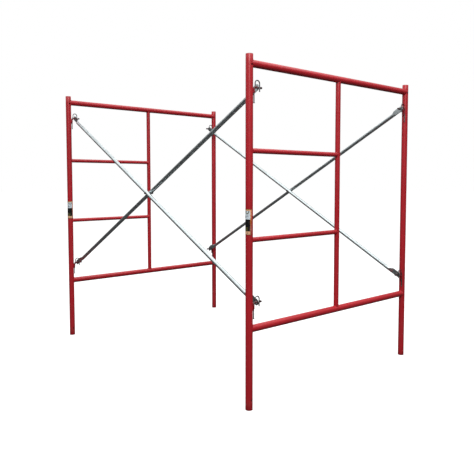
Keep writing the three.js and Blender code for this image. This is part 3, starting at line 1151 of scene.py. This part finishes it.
def for_camera_rays(tree, seen, lit):
    """A shader that the camera sees as seen, and that lights the object as lit."""
    rays = tree.nodes.new("ShaderNodeLightPath")
    mix = tree.nodes.new("ShaderNodeMixShader")
    tree.links.new(rays.outputs["Is Camera Ray"], mix.inputs[0])
    tree.links.new(lit, mix.inputs[1])
    tree.links.new(seen, mix.inputs[2])
    return mix.outputs[0]


def make_world():
    world = bpy.data.worlds.new("studio")
    scene.world = world
    world.use_nodes = True
    tree = world.node_tree
    tree.nodes.clear()
    output = tree.nodes.new("ShaderNodeOutputWorld")
    seen = tree.nodes.new("ShaderNodeBackground")
    seen.inputs["Color"].default_value = grey(1)
    lit = tree.nodes.new("ShaderNodeBackground")
    place = tree.nodes.new("ShaderNodeTexCoord")
    split = tree.nodes.new("ShaderNodeSeparateXYZ")
    tree.links.new(place.outputs["Generated"], split.inputs[0])
    height = tree.nodes.new("ShaderNodeMapRange")
    tree.links.new(split.outputs[2], height.inputs["Value"])
    height.inputs["From Min"].default_value = -1
    ramp = tree.nodes.new("ShaderNodeValToRGB")
    while len(ramp.color_ramp.elements) < len(SKY_STOPS):
        ramp.color_ramp.elements.new(0.5)
    for element, (position, level) in zip(ramp.color_ramp.elements, SKY_STOPS):
        element.position = position
        element.color = grey(level)
    tree.links.new(height.outputs["Result"], ramp.inputs["Fac"])
    tree.links.new(ramp.outputs["Color"], lit.inputs["Color"])
    tree.links.new(for_camera_rays(tree, seen.outputs[0], lit.outputs[0]), output.inputs["Surface"])


def make_floor():
    size = FLOOR_HALF_SIZE
    mesh = bpy.data.meshes.new("studio_floor")
    level = cad_low.z - FLOOR_DROP
    corners = [(-size, -size, level), (size, -size, level), (size, size, level), (-size, size, level)]
    mesh.from_pydata(corners, [], [(0, 1, 2, 3)])
    floor = bpy.data.objects.new("studio_floor", mesh)
    scene.collection.objects.link(floor)
    material = bpy.data.materials.new("pale_floor")
    material.use_nodes = True
    tree = material.node_tree
    tree.nodes.clear()
    output = tree.nodes.new("ShaderNodeOutputMaterial")
    pale = tree.nodes.new("ShaderNodeBsdfDiffuse")
    pale.inputs["Color"].default_value = grey(0.3)
    glow = tree.nodes.new("ShaderNodeEmission")
    glow.inputs["Strength"].default_value = 0.95
    seen = tree.nodes.new("ShaderNodeAddShader")
    tree.links.new(pale.outputs[0], seen.inputs[0])
    tree.links.new(glow.outputs[0], seen.inputs[1])
    lit = tree.nodes.new("ShaderNodeBsdfDiffuse")
    lit.inputs["Color"].default_value = grey(0.06)
    tree.links.new(for_camera_rays(tree, seen.outputs[0], lit.outputs[0]), output.inputs["Surface"])
    mesh.materials.append(material)


def add_softbox(name, place, target, size, power):
    light = bpy.data.lights.new(name, "AREA")
    light.shape = "SQUARE"
    light.size = size
    light.energy = power
    obj = bpy.data.objects.new(name, light)
    obj.location = place
    obj.rotation_euler = (Vector(target) - Vector(place)).to_track_quat("-Z", "Y").to_euler()
    obj.visible_camera = False
    scene.collection.objects.link(obj)


def make_camera():
    data = bpy.data.cameras.new("camera")
    data.lens = 43.96
    data.sensor_width = 36
    data.shift_x = -0.0052
    data.shift_y = -0.0427
    data.clip_end = 500
    camera = bpy.data.objects.new("camera", data)
    camera.location = (-2.916, -3.358, 1.270)
    heading = Vector((0.6713, 0.7386, -0.0623))
    camera.rotation_euler = heading.to_track_quat("-Z", "Y").to_euler()
    scene.collection.objects.link(camera)
    scene.camera = camera


make_camera()
scene.view_settings.view_transform = "Standard"
make_world()
make_floor()
add_softbox("top_light", (0.0, -1.8, 6.0), (0, -0.6, 0.8), 10.0, 430)
add_softbox("left_light", (-4.6, 2.6, 4.6), (-0.4, 0, 1.2), 4.5, 55)
add_softbox("front_light", (-3.8, -4.6, 4.6), (0, 0, 1.0), 3.5, 205)
add_softbox("back_light", (3.6, 4.8, 4.6), (0, 0, 1.0), 4.5, 90)

red_enamel = red_paint("red_enamel")
red_weld = red_paint("red_enamel_over_weld", bead=True)
stud_enamel = red_paint("red_enamel_on_studs", worn_and_shaded=True)
galvanised = galvanised_paint()
zinc_plate = zinc_paint()
label_vinyl = label_paint()

for frame_end in ("front", "rear"):
    add_end_frame(frame_end)
for frame_side in ("left", "right"):
    locks = {}
    for frame_end in ("front", "rear"):
        for stud_level in ("upper", "lower"):
            locks[frame_end, stud_level] = add_lock(frame_end, frame_side, stud_level)
    add_brace(frame_side, "rising", locks["front", "lower"], locks["rear", "upper"])
    add_brace(frame_side, "falling", locks["front", "upper"], locks["rear", "lower"])
    add_centre_bolt(frame_side)

bpy.context.view_layer.update()
